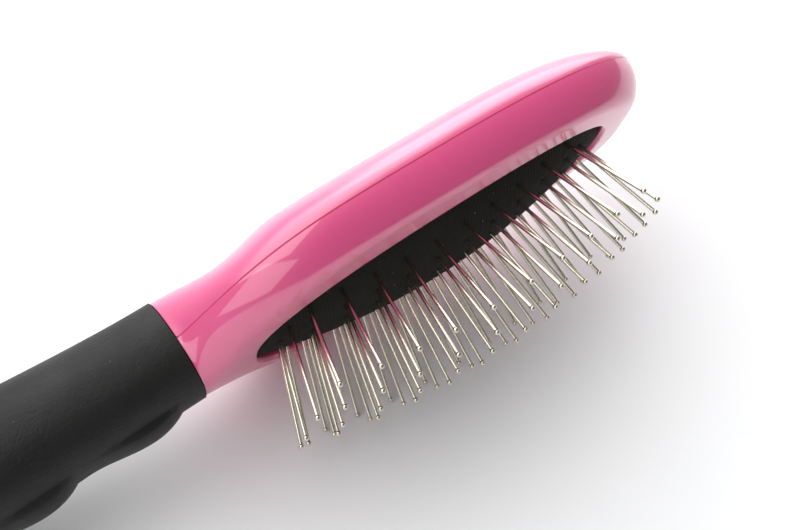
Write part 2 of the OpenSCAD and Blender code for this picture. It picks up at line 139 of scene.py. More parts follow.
# how finely the surfaces are divided, how strongly their rings crowd towards one end, the step of
# a slope, how near the tip counts as the tip, and the least half width in a division
BACK_ARC, EDGE_POINTS, TIP_CROWD = 96, 6, 2.1
SIDE_PROFILES, NECK_PROFILES, SKIN_RINGS, SKIN_CROWD = 205, 43, 48, 2.2
LIP_RINGS, CAVE_RINGS = 9, 14
CROWN_RINGS, CROWN_STEPS, CROWN_SPREAD, UNDER_RINGS = 130, 360, 0.8, 20
GRIP_RINGS, GRIP_STEPS, BUTT_CROWD = 300, 144, 1.35
PIN_SIDES, BALL_RINGS, WIRE_RINGS = 18, 13, 4
SLOPE_STEP, TIP_NEAR, LEAST_HALF = 0.05, 0.01, 0.01

# points closer than this many m are merged, and edges sharper than this many degrees stay sharp
MERGE = 2e-6
SHARP = 40

# the stage in m and degrees: camera, with lens, sensor and clipping; lamps, with place, width and
# height; half the floor; and where the room is brightest, with the cosines between which it fades
CAMERA_AT, CAMERA_TURN = (-0.07064, -0.1254, 0.27611), (34.669, -4.063, -35.644)
LENS_MM, SENSOR_MM, CLIP_START, CLIP_END = 60, 36, 0.01, 20
LAMPS = {
    "Key": ((-0.32, 0.47, 0.93), 2.3, 1.2),
    "Side": ((0.78, 0.88, 0.5), 1.2, 1.0),
    "Fill": ((-1.2, -0.6, 0.6), 1.2, 0.9),
}
LAMPS_AIM = (0.03, 0, 0.03)
FLOOR_HALF = 3.0
ROOM_BRIGHT = (0.0, 0.94, 0.34)
FADE_LOW, FADE_HIGH = 0.3, 0.95


# curves in numpy
def smooth(t):
    """Eased step: three t squared less two t cubed, held at 0 and 1."""
    t = np.clip(t, 0, 1)
    return t * t * (3 - 2 * t)


def power(c, n):
    """Superellipse coordinate: the size of c to the power of two over n, with its sign."""
    return np.sign(c) * np.abs(c) ** (2 / n)


def cap(u, n, m):
    """Closing factor: one less u to the power n, to the power m."""
    return np.maximum(1 - np.clip(u, 0, 1) ** n, 0) ** m


def cos_d(a):
    """Cosine of an angle in degrees."""
    return np.cos(np.radians(a))


def sin_d(a):
    """Sine of an angle in degrees."""
    return np.sin(np.radians(a))


def tan_d(a):
    """Tangent of one angle in degrees."""
    return math.tan(math.radians(a))


def half_width(x):
    """Half width of the head: the neck's, and a flare of one less (one less t to a power) to a
    power, tapered past the widest place and closed at the tip by a cap."""
    t = np.clip(x / FULL_X, 0, 1)
    flare = HALF_NECK + (HALF_HEAD - HALF_NECK) * (1 - (1 - t ** FLARE_N) ** FLARE_M)
    return (flare * (1 - TAPER * np.maximum(x - FULL_X, 0))
            * cap((x - MID_X) / (HEAD_LEN - MID_X), TIP_N, 1 / TIP_N))


def back_depth(x):
    """Depth behind the parting plane: the neck's, less a dip of a squared sine past the neck and a
    slight ease, closed at the nose by a cap."""
    dip = NECK_DIP * sin_d(180 * np.clip(x / DIP_LEN, 0, 1)) ** 2
    return ((NECK_BACK - dip - BACK_EASE * np.clip(x / MID_X, 0, 1))
            * cap((x - MID_X) / (HEAD_LEN - MID_X), NOSE_N, NOSE_M))


def front_rise(x):
    """Rise of the front skin: an eased step from the neck's to its full height, closed at the brow
    by a cap."""
    return ((NECK_FRONT + (FRONT_RISE - NECK_FRONT) * smooth(x / (FULL_X * FRONT_EASE)))
            * cap((x - MID_X) / (HEAD_LEN - MID_X), BROW_N, BROW_M))


def inward(x, profile, flat, d):
    """A point of a profile moved by d along its inward normal, from central differences; at the
    neck, where the profile is flat, it moves straight in, and at the tip straight back."""
    step = np.minimum(SLOPE_STEP, np.maximum(HEAD_LEN - x, 1e-6) / 4)
    slope = (profile(x + step) - profile(x - step)) / (2 * step)
    k = np.sqrt(1 + slope ** 2)
    px, pv = x + d * slope / k, profile(x) - d / k
    px, pv = np.where(x <= 0, 0, px), np.where(x <= 0, flat - d, pv)
    tip = x >= HEAD_LEN - TIP_NEAR
    return np.where(tip, HEAD_LEN - d, px), np.where(tip, 0, pv)


def soft_min(a, b, k):
    """Lesser of two heights, with the corner between them rounded over a band of k."""
    return np.minimum(a, b) - np.maximum(k - np.abs(a - b), 0) ** 2 / (4 * k)


def arch(x, y, rise, half):
    """Side walls: rise times one less y over the half width to a power that grows past the neck."""
    square = smooth(x / SQUARE_X)
    n = NECK_N + (FRONT_N - NECK_N) * square
    m = 1 / NECK_N + (FRONT_M - 1 / NECK_N) * square
    return rise * np.maximum(1 - (np.abs(y) / np.maximum(half, LEAST_HALF)) ** n, 0) ** m


def land_z(x, y):
    """Land round the opening: the rim's height, falling slowly outwards and lifted at the neck."""
    out = ((np.abs(x - PAD_X) / PAD_A) ** RIM_N + (np.abs(y) / PAD_B) ** RIM_N) ** (1 / RIM_N) - 1
    return RIM_Z + LIP_CROWN + NECK_LIFT * smooth(1 - x / NECK_BORDER) - LAND_FALL * PAD_B * out


def skin_z(x, y):
    """Outside of the front shell: the lesser of its side walls and its land, rounded between."""
    return soft_min(arch(x, y, front_rise(x), half_width(x)), land_z(x, y), LAND_R)


def cave_z(x, y):
    """Inside of the front shell: as the outside, with walls and land moved in by its thickness."""
    low = arch(x, y, np.maximum(front_rise(x) - SHELL_T, 0), half_width(x) - SHELL_T)
    return soft_min(low, land_z(x, y) - SHELL_T, LAND_R)


def rim(a, e):
    """The opening's oval grown by e: a superellipse about the middle of the pad."""
    return PAD_X + (PAD_A + e) * power(cos_d(a), RIM_N), (PAD_B + e) * power(sin_d(a), RIM_N)


def pad_z(x, y, inset=0.0):
    """Crown of the cushion: a ring of cross radius swung about a long radius."""
    across = R_LONG - R_CROSS + np.sqrt((R_CROSS - inset) ** 2 - y ** 2)
    return DOME_TOP - R_LONG + np.sqrt(across ** 2 - (x - PAD_X) ** 2)


# meshes
def grid_quads(nu, nv, wrap_u=False, wrap_v=False):
    """Quads of a grid: each joins four neighbours, and a wrapped direction joins its ends."""
    i = np.arange(nu if wrap_u else nu - 1)[:, None]
    j = np.arange(nv if wrap_v else nv - 1)[None, :]
    i2, j2 = (i + 1) % nu, (j + 1) % nv
    return np.stack([i * nv + j, i * nv + j2, i2 * nv + j2, i2 * nv + j], -1).reshape(-1, 4)


def surface(name, grid, wrap_u=False, wrap_v=False, extra=None):
    """Object from a grid of brush points, with extra quads where they are needed to close it."""
    quads = grid_quads(*grid.shape[:2], wrap_u, wrap_v)
    if extra is not None:
        quads = np.vstack([quads, extra])
    return solid(name, grid.reshape(-1, 3), quads)


def solid(name, points, quads):
    """Object from points and quads: poles merged, faces turned outwards, shaded smooth."""
    mesh = bpy.data.meshes.new(name)
    mesh.from_pydata(to_table(points).tolist(), [], quads.tolist())
    work = bmesh.new()
    work.from_mesh(mesh)
    bmesh.ops.remove_doubles(work, verts=work.verts, dist=MERGE)
    bmesh.ops.recalc_face_normals(work, faces=work.faces)
    work.to_mesh(mesh)
    work.free()
    mesh.polygons.foreach_set("use_smooth", np.ones(len(mesh.polygons), dtype=bool))
    mesh.set_sharp_from_angle(angle=math.radians(SHARP))
    mesh.update()
    piece = bpy.data.objects.new(name, mesh)
    bpy.context.scene.collection.objects.link(piece)
    return piece


def dress(piece, material, node):
    """Gives a piece its finish, hangs it under the body that carries it, and hides the node it stands
    for.
    """
    piece.data.materials.append(material)
    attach(piece, BODY)
    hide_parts(node)
    return piece


# shader nodes
def link(tree, value, socket):
    """Links a node's output to a socket, or sets the socket to a plain value."""
    if isinstance(value, bpy.types.NodeSocket):
        tree.links.new(value, socket)
    else:
        socket.default_value = value


def add(tree, kind, settings=None, sockets=None, **inputs):
    """Adds a shader node, with its inputs by name, or in sockets by number where names repeat."""
    node = tree.nodes.new(kind)
    for key, value in (settings or {}).items():
        setattr(node, key, value)
    for key, value in (sockets or {}).items():
        link(tree, value, node.inputs[key])
    for key, value in inputs.items():
        link(tree, value, node.inputs[key.replace("_", " ")])
    return node


def brush_space(tree):
    """Object coordinates turned back into the brush frame, in mm."""
    back = Matrix(TO_TABLE.T.tolist())
    at = add(tree, "ShaderNodeTexCoord").outputs["Object"]
    return add(tree, "ShaderNodeMapping", Vector=at, Rotation=back.to_euler(),
               Location=tuple(-(TO_TABLE.T @ SHIFT)), Scale=(1 / MM,) * 3).outputs["Vector"]


def maths(tree, operation, a, b=0.0):
    """One operation on one or two values."""
    return add(tree, "ShaderNodeMath", {"operation": operation}, {0: a, 1: b}).outputs[0]


def ramp(tree, value, low, high, to_low=0.0, to_high=1.0):
    """Maps a value from one range to another, held at the ends."""
    return add(tree, "ShaderNodeMapRange", Value=value, From_Min=low, From_Max=high,
               To_Min=to_low, To_Max=to_high).outputs["Result"]


def mix(tree, factor, a, b):
    """Colour between a and b, by a factor."""
    return add(tree, "ShaderNodeMix", {"data_type": "RGBA"}, {0: factor, 6: a, 7: b}).outputs[2]


def bump(tree, height, distance, normal=None):
    """Normal bent by a height of so many mm, on top of another bump's normal if one is given."""
    node = add(tree, "ShaderNodeBump", Height=height, Distance=distance * MM, Strength=1.0)
    if normal is not None:
        link(tree, normal, node.inputs["Normal"])
    return node.outputs["Normal"]


def rgba(colour, gain=1.0):
    """Colour times a gain, with full alpha."""
    return (colour[0] * gain, colour[1] * gain, colour[2] * gain, 1.0)


# effects that more than one finish uses
def effect(name, inputs, outputs):
    """Empty node group with its named inputs and outputs."""
    group = bpy.data.node_groups.new(name, "ShaderNodeTree")
    for key, value in inputs.items():
        socket = group.interface.new_socket(key, in_out="INPUT", socket_type="NodeSocketFloat")
        socket.default_value = value
    for key in outputs:
        group.interface.new_socket(key, in_out="OUTPUT", socket_type="NodeSocketFloat")
    given = group.nodes.new("NodeGroupInput").outputs
    return group, given, group.nodes.new("NodeGroupOutput").inputs


def mottle_effect():
    """Soft cloudy patches and a fine grain, both from noise in the brush frame."""
    group, given, out = effect(
        "Mottle", {"Patch Scale": 0.08, "Grain Scale": 1.6}, ("Patches", "Grain"))
    space = brush_space(group)
    patches = add(group, "ShaderNodeTexNoise", Vector=space, Scale=given["Patch Scale"],
                  Detail=4.0, Roughness=0.6).outputs["Fac"]
    grain = add(group, "ShaderNodeTexNoise", Vector=space, Scale=given["Grain Scale"],
                Detail=3.0, Roughness=0.6).outputs["Fac"]
    link(group, ramp(group, patches, 0.32, 0.68), out["Patches"])
    link(group, grain, out["Grain"])
    return group


def speck_effect():
    """Small pale dots of dust: cells whose random value is low, kept near their middle."""
    group, given, out = effect(
        "Dust Specks", {"Scale": 0.7, "Size": 0.16, "Amount": 0.2}, ("Specks",))
    cells = add(group, "ShaderNodeTexVoronoi", Vector=brush_space(group), Scale=given["Scale"])
    near = maths(group, "LESS_THAN", cells.outputs["Distance"], given["Size"])
    chance = add(group, "ShaderNodeSeparateColor", Color=cells.outputs["Color"]).outputs["Red"]
    few = maths(group, "LESS_THAN", chance, given["Amount"])
    link(group, maths(group, "MULTIPLY", near, few), out["Specks"])
    return group


def hairline_effect():
    """Fine hairline marks: a noise stretched along one direction and cut to thin lines."""
    group, given, out = effect("Hairlines", {"Scale": 0.35, "Width": 0.02}, ("Lines",))
    turned = add(group, "ShaderNodeMapping", Vector=brush_space(group),
                 Rotation=(0.3, 0.2, 0.6), Scale=(0.12, 1.0, 1.0)).outputs["Vector"]
    noise = add(group, "ShaderNodeTexNoise", Vector=turned, Scale=given["Scale"],
                Detail=2.0, Roughness=0.5).outputs["Fac"]
    line = maths(group, "ABSOLUTE", maths(group, "SUBTRACT", noise, 0.5))
    link(group, maths(group, "LESS_THAN", line, given["Width"]), out["Lines"])
    return group


EFFECTS = {"Mottle": mottle_effect, "Dust Specks": speck_effect, "Hairlines": hairline_effect}


def placed(tree, name, **inputs):
    """Places a shared effect, built the first time it is used, with this finish's own values."""
    group = bpy.data.node_groups.get(name) or EFFECTS[name]()
    return add(tree, "ShaderNodeGroup", {"node_tree": group}, **inputs).outputs


# finishes
def blank(name):
    """New material with its node tree and its Principled shader."""
    material = bpy.data.materials.new(name)
    material.use_nodes = True
    return material, material.node_tree, material.node_tree.nodes["Principled BSDF"]


def pink_finish(looks, name, haze):
    """Glossy moulded plastic: even pink, faint flow patches, light dust, slow ripples; haze is the
    roughness of its clear outer gloss."""
    material, tree, shader = blank(name)
    mottle = placed(tree, "Mottle", Patch_Scale=0.045, Grain_Scale=0.22)
    dust = placed(tree, "Dust Specks", Scale=0.35, Size=0.05, Amount=0.05)
    flow = ramp(tree, mottle["Patches"], 0, 1, 0, 0.25)
    tint = mix(tree, flow, rgba(looks.pink), rgba(looks.pink, 0.9))
    tint = mix(tree, maths(tree, "MULTIPLY", dust["Specks"], 0.3), tint, (0.9, 0.75, 0.8, 1))
    rough = ramp(tree, mottle["Patches"], 0, 1, looks.pink_rough, looks.pink_rough + 0.05)
    link(tree, tint, shader.inputs["Base Color"])
    link(tree, rough, shader.inputs["Roughness"])
    link(tree, bump(tree, mottle["Grain"], 0.05), shader.inputs["Normal"])
    shader.inputs["IOR"].default_value = 1.65
    shader.inputs["Coat Weight"].default_value = 1.0
    shader.inputs["Coat IOR"].default_value = 1.75
    shader.inputs["Coat Roughness"].default_value = haze
    return material


def cushion_finish(looks):
    """Matt black rubber: fine crosswise ribs crossed by fainter ones, with painted shade in their
    hollows and a painted highlight on their tops, paler worn patches, dust.
    """
    material, tree, shader = blank("Cushion ribbed rubber")
    place = add(tree, "ShaderNodeSeparateXYZ", Vector=brush_space(tree)).outputs
    turns = 2 * math.pi / looks.rib_pitch
    along = maths(tree, "SINE", maths(tree, "MULTIPLY", place["X"], turns))
    across = maths(tree, "SINE", maths(tree, "MULTIPLY", place["Y"], turns))
    weave = maths(tree, "ADD", along, maths(tree, "MULTIPLY", across, 0.3))
    mottle = placed(tree, "Mottle", Patch_Scale=0.06, Grain_Scale=2.2)
    dust = placed(tree, "Dust Specks", Scale=0.55, Size=0.12, Amount=0.08)
    # painted shade and highlight: the rubber is drawn darker in the ribs' hollows and paler on their
    # tops, following their height
    painted_rib_shading = ramp(tree, weave, -1.3, 1.3)
    worn = ramp(tree, mottle["Patches"], 0, 1, 0, 0.35)
    shade = mix(tree, painted_rib_shading, rgba(looks.cushion, 0.75), rgba(looks.cushion, 1.2))
    shade = mix(tree, worn, shade, rgba(looks.cushion, 1.8))
    shade = mix(tree, maths(tree, "MULTIPLY", dust["Specks"], 0.5), shade, (0.22, 0.2, 0.2, 1))
    ribs = bump(tree, weave, 0.035)
    link(tree, shade, shader.inputs["Base Color"])
    link(tree, ramp(tree, mottle["Grain"], 0.3, 0.7, 0.65, 0.85), shader.inputs["Roughness"])
    link(tree, bump(tree, mottle["Grain"], 0.08, ribs), shader.inputs["Normal"])
    shader.inputs["Specular IOR Level"].default_value = 0.06
    return material


def grip_finish(looks):
    """Soft-touch rubber: cloudy grey wear, hairlines and a fine pebbled grain."""
    material, tree, shader = blank("Grip soft rubber")
    mottle = placed(tree, "Mottle", Patch_Scale=0.07, Grain_Scale=1.8)
    dust = placed(tree, "Dust Specks", Scale=0.5, Size=0.08, Amount=0.05)
    marks = placed(tree, "Hairlines", Scale=0.3, Width=0.008)
    shade = mix(tree, mottle["Patches"], rgba(looks.grip, 0.75), rgba(looks.grip, 1.35))
    shade = mix(tree, maths(tree, "MULTIPLY", marks["Lines"], 0.4), shade, rgba(looks.grip, 3.5))
    shade = mix(tree, maths(tree, "MULTIPLY", dust["Specks"], 0.3), shade, (0.2, 0.2, 0.18, 1))
    rough = ramp(tree, mottle["Patches"], 0, 1, looks.grip_rough, looks.grip_rough + 0.16)
    link(tree, shade, shader.inputs["Base Color"])
    link(tree, rough, shader.inputs["Roughness"])
    link(tree, bump(tree, mottle["Grain"], 0.12), shader.inputs["Normal"])
    shader.inputs["Specular IOR Level"].default_value = 0.42
    shader.inputs["Sheen Weight"].default_value = 0.04
    shader.inputs["Sheen Roughness"].default_value = 0.4
    shader.inputs["Sheen Tint"].default_value = (0.95, 1.0, 0.9, 1)
    return material


def steel_finish(name, colour, rough):
    """Plated steel: faint cloudy tarnish and fine grain in its roughness."""
    material, tree, shader = blank(name)
    mottle = placed(tree, "Mottle", Patch_Scale=0.35, Grain_Scale=2.5)
    tarnish = ramp(tree, mottle["Patches"], 0, 1, 0, 0.5)
    link(tree, mix(tree, tarnish, rgba(colour), rgba(colour, 0.8)), shader.inputs["Base Color"])
    link(tree, ramp(tree, mottle["Grain"], 0.3, 0.7, rough, rough + 0.1), shader.inputs["Roughness"])
    link(tree, bump(tree, mottle["Grain"], 0.01), shader.inputs["Normal"])
    shader.inputs["Metallic"].default_value = 1.0
    return material


def plain_finish(name, colour, rough, grain):
    """Hidden pieces: one colour broken up by grain, with a matching bump."""
    material, tree, shader = blank(name)
    mottle = placed(tree, "Mottle", Patch_Scale=0.1, Grain_Scale=grain)
    shade = mix(tree, mottle["Grain"], rgba(colour, 0.7), rgba(colour, 1.3))
    link(tree, shade, shader.inputs["Base Color"])
    link(tree, bump(tree, mottle["Grain"], 0.15), shader.inputs["Normal"])
    shader.inputs["Roughness"].default_value = rough
    return material


def floor_finish(looks):
    """Pale sheet: near white with a trace of paper grain."""
    material, tree, shader = blank("Pale sheet")
    place = add(tree, "ShaderNodeTexCoord").outputs["Object"]
    grain = add(tree, "ShaderNodeTexNoise", Vector=place, Scale=60.0, Detail=3.0).outputs["Fac"]
    shade = mix(tree, grain, rgba(looks.sheet), rgba(looks.sheet, 1.02))
    link(tree, shade, shader.inputs["Base Color"])
    shader.inputs["Roughness"].default_value = 0.9
    shader.inputs["Specular IOR Level"].default_value = 0.1
    return material


# properties
class BrushShape(bpy.types.PropertyGroup):
    """Sizes of the surfaces that a user may change."""

    stations: bpy.props.IntProperty(
        name="Stations", description="Rings along the head", default=200, min=40, max=400)
    dimple: bpy.props.FloatProperty(
        name="Pin dimple", description="Depth of the hollow round each pin, mm",
        default=0.35, min=0, max=1)
    dimple_r: bpy.props.FloatProperty(
        name="Dimple radius", description="Radius of the hollow round each pin, mm",
        default=1.3, min=0.6, max=3)


class BrushLooks(bpy.types.PropertyGroup):
    """Colours, finishes and lights that a user may change."""

    pink: bpy.props.FloatVectorProperty(
        name="Shell pink", description="Colour of the moulded shells", subtype="COLOR",
        default=(0.78, 0.072, 0.245), min=0, max=1)
    pink_rough: bpy.props.FloatProperty(
        name="Shell roughness", description="Roughness of the plastic under its clear gloss",
        default=0.36, min=0.02, max=0.6)
    front_haze: bpy.props.FloatProperty(
        name="Front haze", description="Roughness of the front shell's clear gloss",
        default=0.04, min=0, max=0.6)
    back_haze: bpy.props.FloatProperty(
        name="Back haze", description="Roughness of the back shell's clear gloss",
        default=0.24, min=0, max=0.6)
    cushion: bpy.props.FloatVectorProperty(
        name="Cushion black", description="Colour of the cushion's rubber", subtype="COLOR",
        default=(0.0155, 0.015, 0.0135), min=0, max=1)
    rib_pitch: bpy.props.FloatProperty(
        name="Rib pitch", description="Spacing of the cushion's fine ribs, mm",
        default=0.8, min=0.3, max=3)
    grip: bpy.props.FloatVectorProperty(
        name="Grip black", description="Colour of the grip's rubber", subtype="COLOR",
        default=(0.0025, 0.0028, 0.0022), min=0, max=1)
    grip_rough: bpy.props.FloatProperty(
        name="Grip roughness", description="Roughness of the grip",
        default=0.52, min=0.2, max=0.9)
    nickel: bpy.props.FloatVectorProperty(
        name="Pin nickel", description="Colour of the pins' plating", subtype="COLOR",
        default=(0.72, 0.68, 0.56), min=0, max=1)
    sheet: bpy.props.FloatVectorProperty(
        name="Sheet white", description="Colour of the floor", subtype="COLOR",
        default=(0.922, 0.932, 0.942), min=0, max=1)
    key_power: bpy.props.FloatProperty(
        name="Key power", description="Power of the large lamp high behind the brush",
        default=16, min=0, max=200, unit="POWER")
    side_power: bpy.props.FloatProperty(
        name="Side power", description="Power of the lamp behind the tip, which pales the back",
        default=9.5, min=0, max=100, unit="POWER")
    fill_power: bpy.props.FloatProperty(
        name="Fill power", description="Power of the dim lamp before the grip",
        default=4.5, min=0, max=50, unit="POWER")
    world_low: bpy.props.FloatProperty(
        name="Room dim", description="Brightness of the room before and above the brush",
        default=0.2, min=0, max=2)
    world_high: bpy.props.FloatProperty(
        name="Room bright", description="Brightness of the room behind the brush",
        default=1.0, min=0, max=2)


# shapes of the pieces
def back_shell_grid(shape):
    """Closed rings along the back shell, and the quads that close its neck end. A ring goes outside
    from edge to edge behind the parting plane, over the seam's chamfer, round the rebate and back
    along the inside. Both arcs are superellipses of the half width and the depth, and every ring
    ends in the points of the tip."""
    along, arc = shape.stations, BACK_ARC
    inner_arc = arc - EDGE_POINTS
    x = HEAD_LEN * (1 - (1 - np.arange(along) / along) ** TIP_CROWD)[:, None]
    a = np.linspace(0, 180, arc + 1)[None, :]
    outside = np.stack(np.broadcast_arrays(
        x, half_width(x) * power(cos_d(a), BACK_N),
        -SEAM - np.maximum(back_depth(x) - SEAM, 0) * power(sin_d(a), BACK_N)), -1)

    def edge(d, z, side):
        """The outline moved in by d, at one height, on one side."""
        px, py = inward(x, half_width, HALF_NECK, d)
        return np.stack(np.broadcast_arrays(px, side * py, z), -1)

    b = np.linspace(180, 0, inner_arc + 1)[None, :]
    wide_x, wide_y = inward(x, half_width, HALF_NECK, SHELL_T)
    deep_x, deep_z = inward(x, back_depth, NECK_BACK, SHELL_T)
    share = cos_d(b) ** 2
    inside = np.stack(np.broadcast_arrays(
        wide_x * share + deep_x * (1 - share), wide_y * power(cos_d(b), BACK_N),
        -REBATE_H - np.maximum(deep_z - REBATE_H, HOLLOW_LEAST) * power(sin_d(b), BACK_N)), -1)
    rings = np.concatenate(
        [outside, edge(SEAM, 0.0, -1), edge(REBATE_OUT, 0.0, -1), edge(REBATE_OUT, -REBATE_H, -1),
         inside, edge(REBATE_OUT, -REBATE_H, 1), edge(REBATE_OUT, 0.0, 1), edge(SEAM, 0.0, 1)], 1)
    tips = np.array([[HEAD_LEN, 0, -SEAM], [HEAD_LEN - SEAM, 0, 0], [HEAD_LEN - REBATE_OUT, 0, 0],
                     [HEAD_LEN - REBATE_OUT, 0, -REBATE_H],
                     [HEAD_LEN - SHELL_T, 0, -REBATE_H - HOLLOW_LEAST]])
    which = np.concatenate(
        [np.zeros(arc + 1), [1, 2, 3], np.full(inner_arc + 1, 4), [3, 2, 1]]).astype(int)
    rings = np.concatenate([rings, tips[which][None]], 0)
    near = np.arange(arc)
    far = rings.shape[1] - 1 - near
    return rings, np.stack([near + 1, near, far, far - 1], -1)


def front_shell_grid():
    """Closed profiles round the opening: up the skin from the parting edge, over the rounded lip,
    down and under it, and back along the inside to the tongue. They start at the tip, turn at the
    corner of the neck's end, and are mirrored to the other side. Each runs straight, seen from the
    front, from the opening's oval to the outline, and its heights are those of skin and cave. By
    the lip the skin is lifted to the lip's crown, by the squared nearness to it."""
    k = np.concatenate([np.linspace(0, SIDE_RAYS, SIDE_PROFILES),
                        np.linspace(SIDE_RAYS, SIDE_RAYS + NECK_RAYS, NECK_PROFILES)[1:]])
    side = k <= SIDE_RAYS
    a = np.where(side, CORNER_A * k / SIDE_RAYS,
                 CORNER_A + (180 - CORNER_A) * (k - SIDE_RAYS) / NECK_RAYS)
    to_corner = np.abs(cos_d(a)) / abs(math.cos(math.radians(CORNER_A)))
    outline_x = np.where(a <= 90, MID_X + (HEAD_LEN - MID_X) * power(cos_d(a), TIP_N),
                         MID_X * (1 - np.minimum(to_corner, 1) ** (2 / TIP_N)))
    outline_x = np.where(k >= SIDE_RAYS, 0, outline_x)
    neck_a = np.where(side, 0, 90 * (k - SIDE_RAYS) / NECK_RAYS)

    def end(d):
        """Outer end of each profile, moved inwards by d."""
        px, py = inward(outline_x, half_width, HALF_NECK, d)
        pz = np.zeros_like(px)
        return np.where(side[:, None], np.stack([px, py, pz], -1),
                        np.stack([pz, (HALF_NECK - d) * power(cos_d(neck_a), NECK_N),
                                  (NECK_FRONT - d) * power(sin_d(neck_a), NECK_N)], -1))

    outer = end(0.0)
    s = 1 - np.linspace(0, 1, SKIN_RINGS)[None, :] ** SKIN_CROWD
    rim_x, rim_y = rim(a, LIP_ROUND)
    x = rim_x[:, None] + (outer[:, 0] - rim_x)[:, None] * s
    y = rim_y[:, None] + (outer[:, 1] - rim_y)[:, None] * s
    drop = (RIM_Z + LIP_CROWN - skin_z(rim_x, rim_y))[:, None]
    skin = np.stack([x, y, skin_z(x, y) + drop * (1 - s) ** 2], -1)
    skin[:, 0] = outer
    q = np.linspace(0, 90, LIP_RINGS)[1:]
    lip_x, lip_y = rim(a[:, None], LIP_ROUND * (1 - sin_d(q))[None, :])
    lip_z = RIM_Z + LIP_CROWN - (LIP_CROWN + LIP_DROP) * (1 - cos_d(q))
    lip = np.stack(np.broadcast_arrays(lip_x, lip_y, lip_z), -1)
    foot_x, foot_y = rim(a, 0)
    under = np.stack([foot_x, foot_y, np.full_like(foot_x, LIP_Z)], -1)[:, None]
    t = np.linspace(0, 1, CAVE_RINGS)[None, :]
    flange_x, flange_y = rim(a, FLANGE_W + CLEAR)
    inner = end(SHELL_T)
    x = flange_x[:, None] + (inner[:, 0] - flange_x)[:, None] * t
    y = flange_y[:, None] + (inner[:, 1] - flange_y)[:, None] * t
    run = np.hypot(x - flange_x[:, None], y - flange_y[:, None])
    cave = np.stack([x, y, np.minimum(cave_z(x, y), LIP_Z + run)], -1)
    cave[~side, -1] = inner[~side]
    tongue = end(TONGUE_OUT)
    h = TONGUE_H * np.clip((outline_x - TONGUE_FROM) / TONGUE_RUN, TONGUE_LEAST, 1)
    h = np.where(k >= SIDE_RAYS, TONGUE_H * TONGUE_NECK, h)[:, None]
    down = h * np.array([0, 0, 1.0])
    quarters = (0.75, 0.5, 0.25)
    foot = np.where(side[:, None, None],
                    np.stack([inner - down, tongue - down, tongue], 1),
                    np.stack([end(SHELL_T * f) for f in quarters], 1))
    half = np.concatenate([skin, lip, under, cave, foot], 1)
    other = half[-2:0:-1] * np.array([1, -1, 1])
    return np.concatenate([half, other], 0)


def pin_places():
    """Row number, base point and direction of every pin. Rows stand evenly along the cushion, the
    end rows bow outwards, and the sides draw in by a power of the place along. A pin leans out by
    the tangent of its splay times its place, with a wobble from the sine and cosine of both."""
    row, v = [], []
    for k in range(PIN_COLS):
        places = END_ROW if k in (0, PIN_COLS - 1) else ROW
        row.extend([k] * len(places))
        v.extend(places)
    row, v = np.array(row), np.array(v)
    s = 2 * row / (PIN_COLS - 1) - 1
    end = (row == 0) | (row == PIN_COLS - 1)
    bow = np.where(end, np.sign(s) * END_BOW * (v / END_ROW[-1]) ** 2, 0)
    x = PIN_MID + PIN_SPAN / 2 * s - bow
    y = PIN_SIDE * v * np.where(end, END_SIDE, 1 - ROW_EASE * np.abs(s) ** ROW_EASE_N)
    u = (x - PIN_MID) / PAD_A
    lean = np.where(u < 0, tan_d(SPLAY_NECK), tan_d(SPLAY_TIP))
    wobble = tan_d(WOBBLE)
    along = wobble * sin_d(row * ALONG_TURN[0] + v * ALONG_TURN[1])
    across = wobble * cos_d(row * ACROSS_TURN[0] + v * ACROSS_TURN[1])
    way = np.stack([lean * np.sign(u) * np.abs(u) ** SPLAY_N + along,
                    tan_d(SPLAY_SIDE) * v + across, np.ones_like(x)], -1)
    way /= np.linalg.norm(way, axis=1, keepdims=True)
    return row, np.stack([x, y, pad_z(x, y)], -1), way


def pin_grid(base, way):
    """One pin turned about its own line, as rings of points: a flat head, a straight wire, and a
    ball whose arc starts where it meets the wire."""
    wire, ball = WIRE_D / 2, BALL_D / 2
    q = np.linspace(math.pi - math.asin(wire / ball), 0, BALL_RINGS)
    radius = np.concatenate([[0, PIN_HEAD_R, PIN_HEAD_R, wire], np.full(WIRE_RINGS, wire),
                             ball * np.sin(q)])
    height = np.concatenate([[-PIN_UNDER - PIN_HEAD_T] * 2, [-PIN_UNDER] * 2,
                             np.linspace(WIRE_FROM, WIRE_TO, WIRE_RINGS), PIN_LEN + ball * np.cos(q)])
    side = np.cross(way, [0.0, 1.0, 0.0])
    side /= np.linalg.norm(side)
    third = np.cross(way, side)
    a = 2 * math.pi * np.arange(PIN_SIDES) / PIN_SIDES
    ring = np.cos(a)[:, None] * side + np.sin(a)[:, None] * third
    return base + height[:, None, None] * way + radius[:, None, None] * ring[None]


